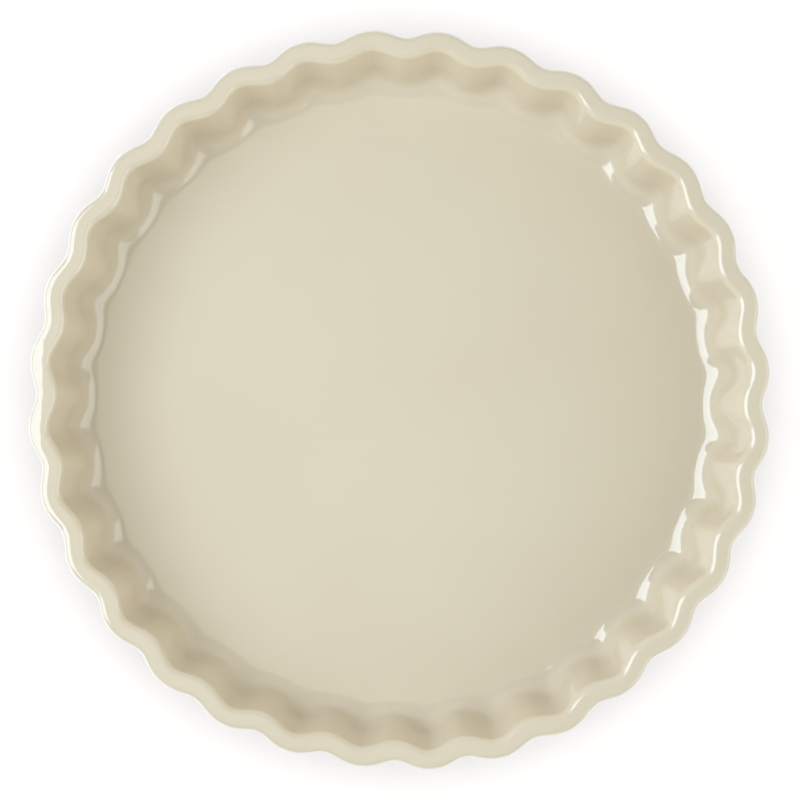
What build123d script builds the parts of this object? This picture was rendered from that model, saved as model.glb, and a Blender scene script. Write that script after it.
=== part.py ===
from build123d import *

import os
from math import asin, atan2, cos, hypot, pi, sin, sqrt, tan
from typing import NamedTuple

# A round pie and tart dish in glazed stoneware, with a fluted wall and a wavy rim.
# It stands on the XY plane, with the Z axis through its middle and a flute's valley on the X axis.
# The fired clay is one piece. A coat of glaze is fused to its inside and its rim, another to its
# outside and a third to the panel under its base. Only the foot ring that it stands on is bare.

# Overall sizes, over the glaze
rim_diameter = 280.0  # across two opposite flute crests
dish_height = 40.0  # from the table to the crown of the rim
flute_count = 32
wall_thickness = 6.4  # of the floor, the heel and the wall alike

# The inside. Between the fillet and the rim's inner round the wall is straight and touches both.
floor_radius_at_crest = 117.2  # where the flat floor stops
floor_radius_at_valley = 116.1
fillet_at_crest = 11.0
fillet_at_valley = 6.4
crown_width_at_crest = 5.2  # from the lip's face to where the rim starts to round down into the dish
crown_width_at_valley = 5.7
rim_inner_round = 2.6

# The lip, outside
rim_outer_round = 3.2
lip_flute_depth = 3.1  # from crest to valley
lip_height = 6.0  # the upright band below the crown
lip_swell_height = 6.0  # where the wall swells out to the lip

# Foot ring
foot_height = 1.6  # the underside's clearance over the table
foot_diameter = 226.0
foot_width = 4.0
foot_edge_round = 0.6

# A crest seen from outside is blunter than a sine wave, and seen from inside it is sharper,
# most of all at the floor. Each is a share of half the flute's depth.
outer_blunt_share = 0.10
inner_blunt_share = -0.06
floor_blunt_share = -0.20

glaze_thickness = 0.4
glaze_line_share = 0.5  # of the lip's upright face, where the inside coat meets the outside one

# How finely the flutes and the rounds are drawn
points_per_flute = 8
round_steps = 6

overrun = 5.0  # how far a cutter runs past what it cuts

# Where the surfaces lie
floor_height = foot_height + wall_thickness
rim_centre_height = dish_height - rim_inner_round
lip_crest_radius = rim_diameter / 2
lip_valley_radius = lip_crest_radius - lip_flute_depth
lip_foot_height = dish_height - lip_height
lip_top_height = dish_height - rim_outer_round
swell_foot_height = lip_foot_height - lip_swell_height
glaze_line_height = lip_foot_height + glaze_line_share * (lip_top_height - lip_foot_height)
foot_outer_radius = foot_diameter / 2
foot_inner_radius = foot_outer_radius - foot_width


class Cut(NamedTuple):
    """The dish cut through at a crest or at a valley, by the two rounds that its wall joins.

    A depth is how far below the inside's glazed face a surface lies, through the wall.
    """

    floor_radius: float
    fillet: float
    rim_radius: float

    def lean(self):
        """The wall's lean from upright."""
        run = self.rim_radius - self.floor_radius
        rise = rim_centre_height - floor_height - self.fillet
        return atan2(run, rise) - asin((self.fillet + rim_inner_round) / hypot(run, rise))

    def fillet_top(self, depth):
        """The height where the fillet ends and the wall starts."""
        return floor_height + self.fillet - (self.fillet + depth) * sin(self.lean())

    def rim_foot(self, depth):
        """The height where the wall ends and the rim's inner round starts."""
        return rim_centre_height + (rim_inner_round - depth) * sin(self.lean())

    def radius(self, height, depth):
        if height < self.fillet_top(depth):
            drop = floor_height + self.fillet - height
            return self.floor_radius + sqrt(max(0, (self.fillet + depth) ** 2 - drop**2))
        if depth >= rim_inner_round or height < self.rim_foot(depth):
            wall_foot = self.floor_radius + (self.fillet + depth) * cos(self.lean())
            return wall_foot + (height - self.fillet_top(depth)) * tan(self.lean())
        rise = height - rim_centre_height
        return self.rim_radius - sqrt(max(0, (rim_inner_round - depth) ** 2 - rise**2))


crest_cut = Cut(floor_radius_at_crest, fillet_at_crest, lip_crest_radius - crown_width_at_crest)
valley_cut = Cut(floor_radius_at_valley, fillet_at_valley, lip_valley_radius - crown_width_at_valley)


class Level(NamedTuple):
    """One height of a fluted surface: its radius at the crests and at the valleys."""

    height: float
    crest: float
    valley: float
    blunt_share: float


def arc_heights(centre, size, first, last):
    """Heights along an arc in section, from one facing to another in radians above the horizon."""
    return [centre + size * sin(first + (last - first) * step / round_steps) for step in range(round_steps + 1)]


def inner_level(height, depth):
    """The cavity's face. Its flutes lose their sharpness on the way up the fillet."""
    climb = (height - floor_height) / (crest_cut.fillet_top(0) - floor_height)
    climb = min(1, max(0, climb))
    blunt_share = floor_blunt_share + climb * (inner_blunt_share - floor_blunt_share)
    return Level(height, crest_cut.radius(height, depth), valley_cut.radius(height, depth), blunt_share)


def outer_level(height, depth):
    """The outside of the wall and the heel, this deep under its glazed face."""
    through = wall_thickness - depth
    return Level(
        height,
        crest_cut.radius(height, through),
        valley_cut.radius(height, through),
        outer_blunt_share,
    )


def lip_level(height, depth):
    """The lip's upright face and the rim's outer round over it."""
    rise = max(0, height - lip_top_height)
    inset = rim_outer_round - sqrt(max(0, (rim_outer_round - depth) ** 2 - rise**2))
    return Level(height, lip_crest_radius - inset, lip_valley_radius - inset, outer_blunt_share)


def swell_level(share, depth):
    """The outside partway up the swell, which eases out of the wall and into the lip."""
    height = swell_foot_height + share * lip_swell_height
    ease = share * share * (3 - 2 * share)
    wall = outer_level(height, depth)
    lip = lip_level(height, depth)
    return wall._replace(
        crest=wall.crest + ease * (lip.crest - wall.crest),
        valley=wall.valley + ease * (lip.valley - wall.valley),
    )


def cavity_zones(depth):
    """The cavity's face from the floor to the crown, and on up past everything that it cuts."""
    lean = crest_cut.lean()
    fillet_heights = arc_heights(floor_height + fillet_at_crest, fillet_at_crest + depth, -pi / 2, -lean)
    rim_heights = arc_heights(rim_centre_height, rim_inner_round - depth, lean, pi / 2)
    fillet_zone = [inner_level(height, depth) for height in fillet_heights]
    rim_zone = [inner_level(height, depth) for height in rim_heights]
    top = rim_zone[-1]
    mouth_zone = [top, top._replace(height=top.height + overrun)]
    return [fillet_zone, [fillet_zone[-1], rim_zone[0]], rim_zone, mouth_zone]


def outside_zones(depth):
    """The outside from the underside to the crown."""
    lean = crest_cut.lean()
    heel_size = fillet_at_crest + wall_thickness - depth
    heel_heights = arc_heights(floor_height + fillet_at_crest, heel_size, -pi / 2, -lean)
    crown_heights = arc_heights(lip_top_height, rim_outer_round - depth, 0, pi / 2)
    heel_zone = [outer_level(height, depth) for height in heel_heights]
    swell_zone = [swell_level(step / round_steps, depth) for step in range(round_steps + 1)]
    crown_zone = [lip_level(height, depth) for height in crown_heights]
    wall_zone = [heel_zone[-1], swell_zone[0]]
    lip_zone = [swell_zone[-1], crown_zone[0]]
    return [heel_zone, wall_zone, swell_zone, lip_zone, crown_zone]


def fluted_outline(level):
    """The closed wavy line round the dish at one level, with a valley on the X axis."""
    depth = level.crest - level.valley
    middle = (level.crest + level.valley + level.blunt_share * depth) / 2
    count = flute_count * points_per_flute
    points = []
    for step in range(count):
        turn = 2 * pi * step / count
        wave = cos(flute_count * turn) + level.blunt_share * cos(2 * flute_count * turn)
        radius = middle - depth / 2 * wave
        points.append((radius * cos(turn), radius * sin(turn)))
    return Edge.make_spline(points, periodic=True, parameters=[step / count for step in range(count + 1)])


def fluted_face(level):
    with BuildSketch(Plane.XY.offset(level.height)) as section:
        with BuildLine():
            add(fluted_outline(level))
        make_face()
    return section.sketch.face()


def loft_zones(zones, mode=Mode.ADD):
    """Lofts each zone of a surface, from its first level to its last, and stacks them."""
    for zone in zones:
        sections = [fluted_face(level) for level in zone]
        loft(sections=sections, ruled=len(zone) == 2, mode=mode)


# The fired clay, with the foot ring that stays bare
with BuildPart() as stoneware_body:
    loft_zones(outside_zones(glaze_thickness))
    with BuildSketch(Plane.XY):
        Circle(foot_outer_radius)
        Circle(foot_inner_radius, mode=Mode.SUBTRACT)
    extrude(amount=foot_height + glaze_thickness)
    foot_edges = stoneware_body.edges().filter_by(GeomType.CIRCLE).group_by(Axis.Z)[0]
    fillet(foot_edges, radius=foot_edge_round)
    loft_zones(cavity_zones(glaze_thickness), Mode.SUBTRACT)

# The coat of glaze over the cavity and the crown, down to the glaze line on the lip
with BuildPart() as inside_glaze:
    loft_zones(outside_zones(0))
    with BuildSketch(Plane.XY):
        Circle(rim_diameter)
    extrude(amount=glaze_line_height, mode=Mode.SUBTRACT)
    loft_zones(cavity_zones(glaze_thickness)[:-1])
    loft_zones(cavity_zones(0), Mode.SUBTRACT)
    add(stoneware_body.part, mode=Mode.SUBTRACT)

# The coat over the lip, the outside of the wall and the underside as far as the foot ring
with BuildPart() as outside_glaze:
    loft_zones(outside_zones(0))
    with BuildSketch(Plane.XY.offset(glaze_line_height)):
        Circle(rim_diameter)
    extrude(amount=dish_height, mode=Mode.SUBTRACT)
    loft_zones(outside_zones(glaze_thickness), Mode.SUBTRACT)
    with BuildSketch(Plane.XY):
        Circle(foot_outer_radius)
    extrude(amount=dish_height, mode=Mode.SUBTRACT)

# The coat on the panel inside the foot ring
with BuildPart() as base_glaze:
    with BuildSketch(Plane.XY.offset(foot_height)):
        Circle(foot_inner_radius)
    extrude(amount=glaze_thickness)

pieces = {
    "stoneware_body": stoneware_body,
    "inside_glaze": inside_glaze,
    "outside_glaze": outside_glaze,
    "base_glaze": base_glaze,
}
os.makedirs("parts", exist_ok=True)
for name, piece in pieces.items():
    piece.part.label = name
    export_step(piece.part, f"parts/{name}.step")
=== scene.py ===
"""The looks of a round fluted pie dish in cream glazed stoneware, seen from straight above.

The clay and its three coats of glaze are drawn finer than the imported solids, with the small unevenness
of a dish that was pressed in a mould and dipped by hand. The dish's sizes are in millimetres up to the
place where a mesh is made. Everything else is in metres.
"""

from math import asin, atan2, cos, degrees, hypot, pi, radians, sin, sqrt, tan
from typing import NamedTuple

import bpy
import numpy as np
from mathutils import Matrix, Vector


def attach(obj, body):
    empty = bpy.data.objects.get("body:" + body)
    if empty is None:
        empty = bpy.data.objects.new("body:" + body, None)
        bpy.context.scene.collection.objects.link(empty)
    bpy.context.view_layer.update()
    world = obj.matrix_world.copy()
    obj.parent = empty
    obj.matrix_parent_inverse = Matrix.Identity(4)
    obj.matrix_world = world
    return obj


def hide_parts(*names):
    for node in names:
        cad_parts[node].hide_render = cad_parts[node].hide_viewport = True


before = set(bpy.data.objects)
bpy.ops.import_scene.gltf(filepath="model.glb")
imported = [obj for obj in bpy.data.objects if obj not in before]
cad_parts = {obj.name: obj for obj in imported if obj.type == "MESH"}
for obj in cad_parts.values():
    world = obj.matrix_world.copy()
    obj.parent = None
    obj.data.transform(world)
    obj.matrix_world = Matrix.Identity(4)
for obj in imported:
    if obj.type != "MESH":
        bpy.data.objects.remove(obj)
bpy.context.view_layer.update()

METRE = 0.001  # a millimetre in metres

# Sizes of the dish, the same as in the solids, but for a tighter round at the rim's outer edge
RIM_DIAMETER = 280.0
DISH_HEIGHT = 40.0
FLUTE_COUNT = 32
WALL_THICKNESS = 6.4
FLOOR_RADIUS_AT_CREST = 117.2
FLOOR_RADIUS_AT_VALLEY = 116.1
FILLET_AT_CREST = 11.0
FILLET_AT_VALLEY = 6.4
CROWN_WIDTH_AT_CREST = 5.2
CROWN_WIDTH_AT_VALLEY = 5.7
RIM_OUTER_ROUND = 1.8
RIM_INNER_ROUND = 2.6
LIP_FLUTE_DEPTH = 3.1
LIP_HEIGHT = 6.0
LIP_SWELL_HEIGHT = 6.0
OUTER_BLUNT_SHARE = 0.10
INNER_BLUNT_SHARE = -0.06
FLOOR_BLUNT_SHARE = -0.20
FOOT_HEIGHT = 1.6
FOOT_DIAMETER = 226.0
FOOT_WIDTH = 4.0
FOOT_EDGE_ROUND = 0.6
GLAZE_THICKNESS = 0.4
GLAZE_LINE_HEIGHT = 35.4  # on the lip's upright face

# Where the surfaces lie
FLOOR_HEIGHT = FOOT_HEIGHT + WALL_THICKNESS
FILLET_CENTRE_HEIGHT = FLOOR_HEIGHT + FILLET_AT_CREST
RIM_CENTRE_HEIGHT = DISH_HEIGHT - RIM_INNER_ROUND
LIP_CREST_RADIUS = RIM_DIAMETER / 2
LIP_VALLEY_RADIUS = LIP_CREST_RADIUS - LIP_FLUTE_DEPTH
LIP_FOOT_HEIGHT = DISH_HEIGHT - LIP_HEIGHT
LIP_TOP_HEIGHT = DISH_HEIGHT - RIM_OUTER_ROUND
SWELL_FOOT_HEIGHT = LIP_FOOT_HEIGHT - LIP_SWELL_HEIGHT
FOOT_OUTER_RADIUS = FOOT_DIAMETER / 2
FOOT_INNER_RADIUS = FOOT_OUTER_RADIUS - FOOT_WIDTH

# How finely the meshes are drawn
COLUMNS_PER_FLUTE = 24
FLOOR_STEPS = 14
FILLET_STEPS = 28
WALL_STEPS = 20
ROUND_STEPS = 18
CROWN_STEPS = 4
LIP_STEPS = 3
UNDERSIDE_STEPS = 6
BASE_STEPS = 8
FOOT_ROUND_STEPS = 5
SHARP_ANGLE = 50  # in degrees, from where a mesh shows an edge

# How a surface faces in section, in degrees above the horizon
DOWN = -90
OUT = 0
UP = 90

# The unevenness of a real dish, as waves round it: how many, how high and how far along
INSET = 0.55  # the mean dish is this much smaller in radius, so that its widest flutes stay in the box
OVAL_WAVES = [
    (2, 0.28, 0.0),
    (3, 0.23, -2.2),
    (4, 0.16, -2.0),
    (6, 0.19, 1.6),
    (7, 0.24, 1.9),
    (8, 0.12, -2.1),
]
FOOT_OVAL_SHARE = 0.35  # how much of the rim's oval its foot has
MIDDLE_EVENNESS = 4  # the power with which the oval dies away towards the middle of the floor
DEPTH_WAVE_SHARES = [(5, 0.05, 1.1), (11, 0.04, 2.7), (13, 0.03, 0.3)]  # of the flutes' depth
CROWN_DIP = 0.12  # how far the crown wanders below its highest place
CROWN_WAVE_SHARES = [(3, 0.5, 0.7), (5, 0.5, 2.2)]  # of half that dip
CROWN_EVENNESS = 4  # the power with which the dip grows from the table to the crown


class Level(NamedTuple):
    """One height of the dish's surface: its radius at the flutes' crests and at their valleys."""

    height: float
    crest: float
    valley: float
    blunt_share: float


class Cut(NamedTuple):
    """The inside cut through at a crest or at a valley, by its two rounds, which the wall joins straight."""

    floor_radius: float
    fillet: float
    rim_radius: float

    def lean(self):
        """The wall's lean from upright."""
        run = self.rim_radius - self.floor_radius
        rise = RIM_CENTRE_HEIGHT - FLOOR_HEIGHT - self.fillet
        return atan2(run, rise) - asin((self.fillet + RIM_INNER_ROUND) / hypot(run, rise))

    def fillet_top(self, depth):
        """Where the fillet ends and the wall starts, on the face that lies this deep in the clay."""
        return FLOOR_HEIGHT + self.fillet - (self.fillet + depth) * sin(self.lean())

    def rim_foot(self, depth):
        """Where the wall ends and the rim's inner round starts."""
        return RIM_CENTRE_HEIGHT + (RIM_INNER_ROUND - depth) * sin(self.lean())

    def radius(self, height, depth):
        """The radius at one height, on the face that lies this deep in the clay."""
        if height <= self.fillet_top(depth):
            drop = FLOOR_HEIGHT + self.fillet - height
            return self.floor_radius + sqrt(max(0.0, (self.fillet + depth) ** 2 - drop**2))
        if depth >= RIM_INNER_ROUND or height <= self.rim_foot(depth):
            wall_foot = self.floor_radius + (self.fillet + depth) * cos(self.lean())
            return wall_foot + (height - self.fillet_top(depth)) * tan(self.lean())
        rise = height - RIM_CENTRE_HEIGHT
        return self.rim_radius - sqrt(max(0.0, (RIM_INNER_ROUND - depth) ** 2 - rise**2))


AT_CREST = Cut(FLOOR_RADIUS_AT_CREST, FILLET_AT_CREST, LIP_CREST_RADIUS - CROWN_WIDTH_AT_CREST)
AT_VALLEY = Cut(FLOOR_RADIUS_AT_VALLEY, FILLET_AT_VALLEY, LIP_VALLEY_RADIUS - CROWN_WIDTH_AT_VALLEY)
LEAN_DEGREES = degrees(AT_CREST.lean())


def between(first, last, steps):
    """Levels on a straight line in section, with both ends."""
    return [
        Level(*(a + (b - a) * step / steps for a, b in zip(first, last)))
        for step in range(steps + 1)
    ]


def arc_heights(centre, size, first, last, steps):
    """Heights along an arc in section, from the facings of its ends in degrees above the horizon."""
    return [centre + size * sin(radians(first + (last - first) * step / steps)) for step in range(steps + 1)]


def inner_level(height, depth=0.0):
    """The cavity's face. Its flutes lose their sharpness on the way up the fillet."""
    climb = (height - FLOOR_HEIGHT) / (AT_CREST.fillet_top(0.0) - FLOOR_HEIGHT)
    climb = min(1.0, max(0.0, climb))
    blunt_share = FLOOR_BLUNT_SHARE + climb * (INNER_BLUNT_SHARE - FLOOR_BLUNT_SHARE)
    return Level(height, AT_CREST.radius(height, depth), AT_VALLEY.radius(height, depth), blunt_share)


def outer_level(height, depth=0.0):
    """The outside of the wall and the heel, one wall thickness behind the cavity's face."""
    return inner_level(height, WALL_THICKNESS - depth)._replace(blunt_share=OUTER_BLUNT_SHARE)


def lip_level(height, depth=0.0):
    """The lip's upright face and the rim's outer round over it."""
    size = RIM_OUTER_ROUND - depth
    rise = max(0.0, height - LIP_TOP_HEIGHT)
    inset = RIM_OUTER_ROUND - sqrt(max(0.0, size**2 - rise**2))
    return Level(height, LIP_CREST_RADIUS - inset, LIP_VALLEY_RADIUS - inset, OUTER_BLUNT_SHARE)


def swell_level(share, depth=0.0):
    """The outside partway up the swell, which eases out of the wall and into the lip."""
    height = SWELL_FOOT_HEIGHT + share * LIP_SWELL_HEIGHT
    ease = share * share * (3 - 2 * share)
    wall = outer_level(height, depth)
    lip = lip_level(LIP_FOOT_HEIGHT, depth)
    return wall._replace(
        crest=wall.crest + ease * (lip.crest - wall.crest),
        valley=wall.valley + ease * (lip.valley - wall.valley),
    )


def inside_levels(depth):
    """From the middle of the floor over the crown to the glaze line, this deep in the clay."""
    fillet_top = AT_CREST.fillet_top(depth)
    wall_height = AT_CREST.rim_foot(depth) - fillet_top
    heights = arc_heights(FILLET_CENTRE_HEIGHT, FILLET_AT_CREST + depth, DOWN, -LEAN_DEGREES, FILLET_STEPS)
    heights += [fillet_top + wall_height * step / WALL_STEPS for step in range(1, WALL_STEPS)]
    heights += arc_heights(RIM_CENTRE_HEIGHT, RIM_INNER_ROUND - depth, LEAN_DEGREES, UP, ROUND_STEPS)
    outer_heights = arc_heights(LIP_TOP_HEIGHT, RIM_OUTER_ROUND - depth, UP, OUT, ROUND_STEPS)
    inner = [inner_level(height, depth) for height in heights]
    outer = [lip_level(height, depth) for height in outer_heights]
    middle = Level(heights[0], 0.0, 0.0, FLOOR_BLUNT_SHARE)
    return (
        between(middle, inner[0], FLOOR_STEPS)
        + inner[1:]
        + between(inner[-1], outer[0], CROWN_STEPS)[1:]
        + outer[1:]
        + between(outer[-1], lip_level(GLAZE_LINE_HEIGHT, depth), LIP_STEPS)[1:]
    )


def outside_levels(depth):
    """From the glaze line down the outside to the foot ring, this deep in the clay."""
    through = WALL_THICKNESS - depth
    heel = FILLET_AT_CREST + through
    wall_height = SWELL_FOOT_HEIGHT - AT_CREST.fillet_top(through)
    wall_heights = [SWELL_FOOT_HEIGHT - wall_height * step / WALL_STEPS for step in range(1, WALL_STEPS)]
    heel_heights = arc_heights(FILLET_CENTRE_HEIGHT, heel, -LEAN_DEGREES, DOWN, FILLET_STEPS)
    swell = [swell_level(1 - step / ROUND_STEPS, depth) for step in range(ROUND_STEPS + 1)]
    wall_and_heel = [outer_level(height, depth) for height in wall_heights + heel_heights]
    foot_side = Level(heel_heights[-1], FOOT_OUTER_RADIUS, FOOT_OUTER_RADIUS, OUTER_BLUNT_SHARE)
    return (
        between(lip_level(GLAZE_LINE_HEIGHT, depth), swell[0], LIP_STEPS)
        + swell[1:]
        + wall_and_heel
        + between(wall_and_heel[-1], foot_side, UNDERSIDE_STEPS)[1:]
    )


def foot_ring_levels():
    """Round the foot ring's two edges, from its outer side under it to its inner side."""
    levels = []
    for centre, first in (
        (FOOT_OUTER_RADIUS - FOOT_EDGE_ROUND, OUT),
        (FOOT_INNER_RADIUS + FOOT_EDGE_ROUND, DOWN),
    ):
        for step in range(FOOT_ROUND_STEPS + 1):
            facing = radians(first + DOWN * step / FOOT_ROUND_STEPS)
            radius = centre + FOOT_EDGE_ROUND * cos(facing)
            levels.append(Level(FOOT_EDGE_ROUND * (1 + sin(facing)), radius, radius, 0.0))
    return levels


def base_levels(depth):
    """The panel inside the foot ring, from its edge to its middle, this deep in the clay."""
    height = FOOT_HEIGHT + depth
    edge = Level(height, FOOT_INNER_RADIUS, FOOT_INNER_RADIUS, 0.0)
    return between(edge, Level(height, 0.0, 0.0, 0.0), BASE_STEPS)


COLUMNS = FLUTE_COUNT * COLUMNS_PER_FLUTE
TURNS = np.arange(COLUMNS) * 2 * pi / COLUMNS


def waves(shapes):
    """The sum of some waves at each turn round the dish."""
    return sum(size * np.cos(order * TURNS + phase) for order, size, phase in shapes)


OVAL = waves(OVAL_WAVES)
DEPTH_SHARES = 1 + waves(DEPTH_WAVE_SHARES)
CROWN_DIPS = CROWN_DIP / 2 * (1 + waves(CROWN_WAVE_SHARES))


def ring(level):
    """The points of one level all round the dish, with its unevenness growing from the foot to the rim."""
    rise = min(1.0, max(0.0, level.height / DISH_HEIGHT))
    depth = level.crest - level.valley
    mean = (level.crest + level.valley + level.blunt_share * depth) / 2
    wave = np.cos(FLUTE_COUNT * TURNS) + level.blunt_share * np.cos(2 * FLUTE_COUNT * TURNS)
    unevenness = OVAL * (FOOT_OVAL_SHARE + (1 - FOOT_OVAL_SHARE) * rise) - INSET
    radius = mean - depth / 2 * DEPTH_SHARES * wave
    radius = radius + unevenness * min(1.0, mean / FOOT_OUTER_RADIUS) ** MIDDLE_EVENNESS
    height = level.height - CROWN_DIPS * rise**CROWN_EVENNESS
    return np.stack([radius * np.cos(TURNS), radius * np.sin(TURNS), height], axis=1)


def rings(levels):
    """The rings of some levels. A level on the axis is one point."""
    rows = [ring(level) for level in levels]
    return [row.mean(axis=0, keepdims=True) if level.crest == 0 else row for level, row in zip(levels, rows)]


def lathe(name, rows, material, node, closed=False):
    """A mesh through rings of points, one after the other. A ring of one point closes an end."""
    points = []
    starts = []
    for row in rows:
        starts.append(len(points))
        points.extend(row.tolist())
    faces = []
    pairs = list(zip(range(len(rows) - 1), range(1, len(rows))))
    if closed:
        pairs.append((len(rows) - 1, 0))
    for a, b in pairs:
        for column in range(COLUMNS):
            following = (column + 1) % COLUMNS
            if len(rows[a]) == 1:
                faces.append((starts[a], starts[b] + following, starts[b] + column))
            elif len(rows[b]) == 1:
                faces.append((starts[a] + column, starts[a] + following, starts[b]))
            else:
                faces.append(
                    (starts[a] + column, starts[a] + following, starts[b] + following, starts[b] + column)
                )
    mesh = bpy.data.meshes.new(name)
    mesh.from_pydata([(x * METRE, y * METRE, z * METRE) for x, y, z in points], [], faces)
    mesh.validate()
    mesh.polygons.foreach_set("use_smooth", [True] * len(mesh.polygons))
    mesh.set_sharp_from_angle(angle=radians(SHARP_ANGLE))
    mesh.materials.append(material)
    piece = bpy.data.objects.new(name, mesh)
    bpy.context.scene.collection.objects.link(piece)
    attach(piece, "root")
    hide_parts(node)
    return piece


# Materials

GLAZE_COLOUR = (0.725, 0.63, 0.45)
GLAZE_DEEP_COLOUR = (0.705, 0.605, 0.43)  # where it lies a little thicker
GLAZE_DRIFT = (0.3, 0.7)  # where the noise changes it slowly from the one colour to the other
GLAZE_DRIFT_NOISE = (14.0, 2.0)  # a noise's scale and detail
GLAZE_ROUGHNESS = (0.28, 0.42)  # under the clear skin
GLAZE_ROUGHNESS_NOISE = (60.0, 3.0)
GLAZE_INDEX = 1.5
GLAZE_SPECULAR = 0.05
SKIN_INDEX = 1.7  # the clear skin's refractive index
SKIN_NOISE = (90.0, 2.0)
SKIN_BUMP = (0.15, 0.00002)  # strength and height

PAINTED_RIM_HIGHLIGHT_COLOUR = (0.93, 0.90, 0.83)  # a painted highlight: the glaze made paler over the rim's outer edge
RIM_HIGHLIGHT_FACING = (0.45, 0.95)  # how far it faces outward where that starts and where it is full
RIM_HIGHLIGHT_HEIGHTS = (0.0372, 0.0386)  # and how high it lies there, in metres

CLAY_COLOUR = (0.62, 0.51, 0.38)
CLAY_DARK_COLOUR = (0.44, 0.34, 0.23)
CLAY_GRAIN = (0.35, 0.65)
CLAY_GRAIN_NOISE = (900.0, 6.0, 0.7)  # scale, detail and roughness
CLAY_ROUGHNESS = 0.85
CLAY_BUMP = (0.5, 0.0002)


def principled(name):
    """A new material with its shader, its nodes and its links."""
    material = bpy.data.materials.new(name)
    material.use_nodes = True
    nodes = material.node_tree.nodes
    return material, nodes["Principled BSDF"], nodes, material.node_tree.links


def object_noise(nodes, links, scale, detail, roughness=0.5):
    """A noise in the object's own place and real size."""
    place = nodes.new("ShaderNodeTexCoord")
    noise = nodes.new("ShaderNodeTexNoise")
    noise.inputs["Scale"].default_value = scale
    noise.inputs["Detail"].default_value = detail
    noise.inputs["Roughness"].default_value = roughness
    links.new(place.outputs["Object"], noise.inputs["Vector"])
    return noise.outputs["Fac"]


def ramp(nodes, links, source, places, colours):
    """The first colour up to the first place, the second from the second place on, and a blend between."""
    blend = nodes.new("ShaderNodeValToRGB")
    for element, place, colour in zip(blend.color_ramp.elements, places, colours):
        element.position = place
        element.color = (*colour, 1.0)
    links.new(source, blend.inputs["Fac"])
    return blend.outputs["Color"]


def map_range(nodes, links, source, from_range=(0.0, 1.0), to_range=(0.0, 1.0), smooth=False):
    """Maps a value from one range to another. An end of the second range can be another node's socket."""
    step = nodes.new("ShaderNodeMapRange")
    if smooth:
        step.interpolation_type = "SMOOTHSTEP"
    for name, end in zip(("From Min", "From Max", "To Min", "To Max"), (*from_range, *to_range)):
        if isinstance(end, float):
            step.inputs[name].default_value = end
        else:
            links.new(end, step.inputs[name])
    links.new(source, step.inputs["Value"])
    return step.outputs["Result"]


def vector_math(nodes, links, operation, *sources):
    """A vector operation on sockets and fixed vectors."""
    node = nodes.new("ShaderNodeVectorMath")
    node.operation = operation
    for source, socket in zip(sources, node.inputs):
        if isinstance(source, tuple):
            socket.default_value = source
        else:
            links.new(source, socket)
    return node


def value_math(nodes, links, operation, first, second):
    """An operation on the values of two sockets."""
    node = nodes.new("ShaderNodeMath")
    node.operation = operation
    links.new(first, node.inputs[0])
    links.new(second, node.inputs[1])
    return node.outputs["Value"]


def roughen(nodes, links, shader, source, strength, height):
    """Bumps in the shader's surface, as high as a value says."""
    bump = nodes.new("ShaderNodeBump")
    bump.inputs["Strength"].default_value = strength
    bump.inputs["Distance"].default_value = height
    links.new(source, bump.inputs["Height"])
    links.new(bump.outputs["Normal"], shader.inputs["Normal"])


def painted_rim_highlight_share(nodes, links):
    """1 on the rim's outer edge, where the highlight is painted, from how far the surface faces away from
    the axis near the rim's height.
    """
    place = nodes.new("ShaderNodeTexCoord")
    flat_place = vector_math(nodes, links, "MULTIPLY", place.outputs["Object"], (1.0, 1.0, 0.0))
    outward = vector_math(nodes, links, "NORMALIZE", flat_place.outputs["Vector"])
    facing = vector_math(nodes, links, "DOT_PRODUCT", place.outputs["Normal"], outward.outputs["Vector"])
    parts = nodes.new("ShaderNodeSeparateXYZ")
    links.new(place.outputs["Object"], parts.inputs["Vector"])
    facing_share = map_range(nodes, links, facing.outputs["Value"], RIM_HIGHLIGHT_FACING, smooth=True)
    height_share = map_range(nodes, links, parts.outputs["Z"], RIM_HIGHLIGHT_HEIGHTS, smooth=True)
    return value_math(nodes, links, "MULTIPLY", facing_share, height_share)


def glaze_material():
    """A glossy opaque glaze, made paler over the rim's outer edge as a painted highlight, with fine waves in
    its skin.
    """
    material, shader, nodes, links = principled("cream_glaze")
    drift = object_noise(nodes, links, *GLAZE_DRIFT_NOISE)
    # painted highlight: the base colour is mixed towards a pale colour over the rim's outer edge
    rim_highlight_mix = nodes.new("ShaderNodeMix")
    rim_highlight_mix.data_type = "RGBA"
    rim_highlight_mix.inputs["B"].default_value = (*PAINTED_RIM_HIGHLIGHT_COLOUR, 1.0)
    links.new(painted_rim_highlight_share(nodes, links), rim_highlight_mix.inputs["Factor"])
    tone = ramp(nodes, links, drift, GLAZE_DRIFT, (GLAZE_DEEP_COLOUR, GLAZE_COLOUR))
    links.new(tone, rim_highlight_mix.inputs["A"])
    links.new(rim_highlight_mix.outputs["Result"], shader.inputs["Base Color"])
    gloss = object_noise(nodes, links, *GLAZE_ROUGHNESS_NOISE)
    links.new(map_range(nodes, links, gloss, to_range=GLAZE_ROUGHNESS), shader.inputs["Roughness"])
    shader.inputs["IOR"].default_value = GLAZE_INDEX
    shader.inputs["Specular IOR Level"].default_value = GLAZE_SPECULAR
    shader.inputs["Coat Weight"].default_value = 1.0
    shader.inputs["Coat Roughness"].default_value = 0.0
    shader.inputs["Coat IOR"].default_value = SKIN_INDEX
    skin = object_noise(nodes, links, *SKIN_NOISE)
    roughen(nodes, links, shader, skin, *SKIN_BUMP)
    return material


def clay_material():
    """Bare fired stoneware: buff, matt and fine grained."""
    material, shader, nodes, links = principled("bare_stoneware")
    grain = object_noise(nodes, links, *CLAY_GRAIN_NOISE)
    tone = ramp(nodes, links, grain, CLAY_GRAIN, (CLAY_DARK_COLOUR, CLAY_COLOUR))
    links.new(tone, shader.inputs["Base Color"])
    shader.inputs["Roughness"].default_value = CLAY_ROUGHNESS
    roughen(nodes, links, shader, grain, *CLAY_BUMP)
    return material


cream = glaze_material()
clay = clay_material()

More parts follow.
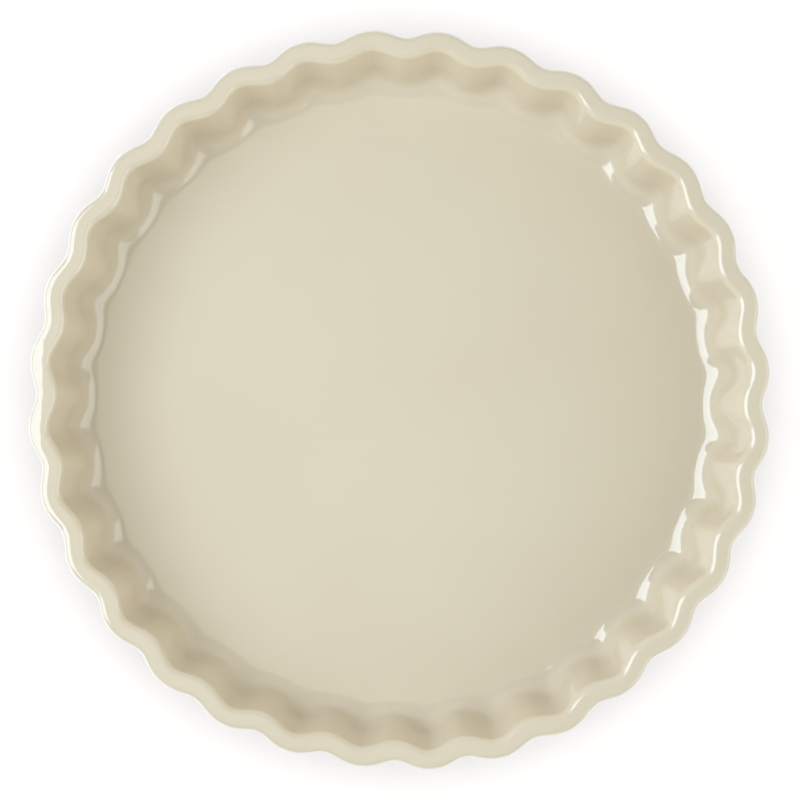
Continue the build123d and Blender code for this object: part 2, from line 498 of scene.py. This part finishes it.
# The three coats, each out along its face and back along the clay under it
inside_rows = rings(inside_levels(0.0))[::-1] + rings(inside_levels(GLAZE_THICKNESS))
lathe("inside_glaze_coat", inside_rows, cream, "inside_glaze")
outside_rows = rings(outside_levels(0.0))[::-1] + rings(outside_levels(GLAZE_THICKNESS))
lathe("outside_glaze_coat", outside_rows, cream, "outside_glaze", closed=True)
base_rows = rings(base_levels(GLAZE_THICKNESS))[::-1] + rings(base_levels(0.0))
lathe("base_glaze_coat", base_rows, cream, "base_glaze")

# The clay: under the inside coat, down inside the outside coat, and round the foot ring
clay_levels = inside_levels(GLAZE_THICKNESS) + outside_levels(GLAZE_THICKNESS)[1:]
clay_levels += foot_ring_levels() + base_levels(GLAZE_THICKNESS)
lathe("stoneware_clay", rings(clay_levels)[::-1], clay, "stoneware_body")

# The white table under the dish, with a soft shade round it

TABLE_REACH = 6.0
TABLE_ROUGHNESS = 0.9
LIT_TABLE_COLOUR = 0.8  # what the table gives back to the dish
LIT_TABLE_GLOW = 0.3  # and what it sends up by itself, as a light table does
SEEN_TABLE_COLOUR = 0.03  # what the camera and the gloss see of the light and shadow on it
SEEN_TABLE_GLOW = 1.0  # and how much of white is under that
SEEN_TABLE_TINT = (1.0, 0.987, 0.975)
CONTACT_REACH = 0.045  # how far from the dish the table is shaded by it
CONTACT_OPEN = (0.54, 0.78)  # how open the table is where that shade is full and where it ends
CONTACT_SHADE = 0.20


def seen_share(nodes, links):
    """1 for rays from the camera and in gloss, 0 for the light that falls on the dish."""
    path = nodes.new("ShaderNodeLightPath")
    seen = value_math(nodes, links, "MAXIMUM", path.outputs["Is Camera Ray"], path.outputs["Is Glossy Ray"])
    return value_math(nodes, links, "MAXIMUM", seen, path.outputs["Is Transmission Ray"])


def seen_range(nodes, links, unseen, seen):
    """One value for the light that falls on the dish and another for what is seen."""
    return map_range(nodes, links, seen_share(nodes, links), to_range=(unseen, seen))


def table_material():
    """White, with light and shadow as the dish sees them and only a little of both for the camera."""
    material, shader, nodes, links = principled("studio_white")
    shader.inputs["Roughness"].default_value = TABLE_ROUGHNESS
    shader.inputs["Specular IOR Level"].default_value = 0.0
    shader.inputs["Emission Color"].default_value = (*SEEN_TABLE_TINT, 1.0)
    links.new(seen_range(nodes, links, LIT_TABLE_COLOUR, SEEN_TABLE_COLOUR), shader.inputs["Base Color"])
    contact = nodes.new("ShaderNodeAmbientOcclusion")
    contact.inputs["Distance"].default_value = CONTACT_REACH
    shade = (SEEN_TABLE_GLOW - CONTACT_SHADE, SEEN_TABLE_GLOW)
    seen_glow = map_range(nodes, links, contact.outputs["AO"], CONTACT_OPEN, shade, smooth=True)
    links.new(seen_range(nodes, links, LIT_TABLE_GLOW, seen_glow), shader.inputs["Emission Strength"])
    return material


reach = TABLE_REACH
corners = [(-reach, -reach, 0), (reach, -reach, 0), (reach, reach, 0), (-reach, reach, 0)]
floor_mesh = bpy.data.meshes.new("studio_floor")
floor_mesh.from_pydata(corners, [], [tuple(range(len(corners)))])
floor_mesh.materials.append(table_material())
studio_floor = bpy.data.objects.new("studio_floor", floor_mesh)
bpy.context.scene.collection.objects.link(studio_floor)

# The world: a soft fill from round the dish that fades overhead

HORIZON_FILL = 1.15
FILL_COLOUR = (1.01, 1.0, 1.05)
GLOSS_OVERHEAD = 0.13  # what the gloss sees there, where 1 is white, as it does at the horizon
GLOW = 0.92  # and how much brighter one soft place is
GLOW_PLACE = (-0.035, 0.0, 1.0)  # the direction of its middle
GLOW_REACH = (0.14, 0.30, 1.0)  # how far from there it fades out


def studio_world():
    """White to the camera. Only the gloss sees the soft bright place over the dish."""
    world = bpy.data.worlds.new("studio")
    world.use_nodes = True
    nodes = world.node_tree.nodes
    links = world.node_tree.links
    background = nodes["Background"]
    direction = nodes.new("ShaderNodeTexCoord")
    parts = nodes.new("ShaderNodeSeparateXYZ")
    links.new(direction.outputs["Generated"], parts.inputs["Vector"])
    fill = map_range(nodes, links, parts.outputs["Z"], to_range=(HORIZON_FILL, 0.0))
    gloss_fill = map_range(nodes, links, parts.outputs["Z"], to_range=(1.0, GLOSS_OVERHEAD))
    from_glow = vector_math(nodes, links, "SUBTRACT", direction.outputs["Generated"], GLOW_PLACE)
    glow_share = vector_math(nodes, links, "DIVIDE", from_glow.outputs["Vector"], GLOW_REACH)
    distance = vector_math(nodes, links, "LENGTH", glow_share.outputs["Vector"])
    glow = map_range(nodes, links, distance.outputs["Value"], to_range=(GLOW, 0.0), smooth=True)
    gloss_light = value_math(nodes, links, "ADD", gloss_fill, glow)
    path = nodes.new("ShaderNodeLightPath")
    seen_light = map_range(nodes, links, path.outputs["Is Camera Ray"], to_range=(gloss_light, 1.0))
    links.new(seen_range(nodes, links, fill, seen_light), background.inputs["Strength"])
    tint = nodes.new("ShaderNodeMix")
    tint.data_type = "RGBA"
    tint.inputs["A"].default_value = (*FILL_COLOUR, 1.0)
    tint.inputs["B"].default_value = (1.0, 1.0, 1.0, 1.0)
    links.new(seen_share(nodes, links), tint.inputs["Factor"])
    links.new(tint.outputs["Result"], background.inputs["Color"])
    return world


bpy.context.scene.world = studio_world()

# The lamps: two soft panels that lean over the dish


class Panel(NamedTuple):
    """A lit panel on one side of the dish. A foot or a head is its distance from the axis and its height."""

    name: str
    azimuth: float  # in degrees from the X axis
    foot: tuple
    head: tuple
    half_width: float
    radiance: float
    colour: tuple


PANELS = [
    Panel("left_panel", 180.0, (0.67, 0.42), (0.366, 2.11), 0.325, 4.2, (0.88, 1.0, 1.155)),
    Panel("right_panel", -15.5, (1.00, 0.475), (0.65, 1.65), 0.50, 1.66, (0.93, 1.0, 0.99)),
]


def hang(panel):
    """The panel's lamp, which lights the dish and shows in its gloss, but not to the camera."""
    foot = Vector((panel.foot[0], 0.0, panel.foot[1]))
    head = Vector((panel.head[0], 0.0, panel.head[1]))
    light = bpy.data.lights.new(panel.name, "AREA")
    light.shape = "RECTANGLE"
    light.size = 2 * panel.half_width
    light.size_y = (head - foot).length
    light.energy = panel.radiance * pi * light.size * light.size_y
    light.color = panel.colour
    up = (head - foot).normalized()
    side = Vector((0.0, 1.0, 0.0))
    facing = Matrix((side, up, side.cross(up))).transposed().to_4x4()
    turn = Matrix.Rotation(radians(panel.azimuth), 4, "Z")
    lamp = bpy.data.objects.new(panel.name, light)
    lamp.matrix_world = turn @ Matrix.Translation((foot + head) / 2) @ facing
    lamp.visible_camera = False
    bpy.context.scene.collection.objects.link(lamp)


for lit_panel in PANELS:
    hang(lit_panel)

# The camera, straight above the middle of the photograph's frame
CAMERA_PLACE = (-0.00008, -0.00015, 1.24)
CAMERA_ROLL = 0.86
CAMERA_LENS = 144.0  # in millimetres, as is the sensor's width
SENSOR_WIDTH = 36.0
camera_data = bpy.data.cameras.new("camera")
camera_data.sensor_width = SENSOR_WIDTH
camera_data.lens = CAMERA_LENS
camera = bpy.data.objects.new("camera", camera_data)
camera.location = CAMERA_PLACE
camera.rotation_euler = (0.0, 0.0, radians(CAMERA_ROLL))
bpy.context.scene.collection.objects.link(camera)
bpy.context.scene.camera = camera

bpy.context.scene.view_settings.view_transform = "Standard"
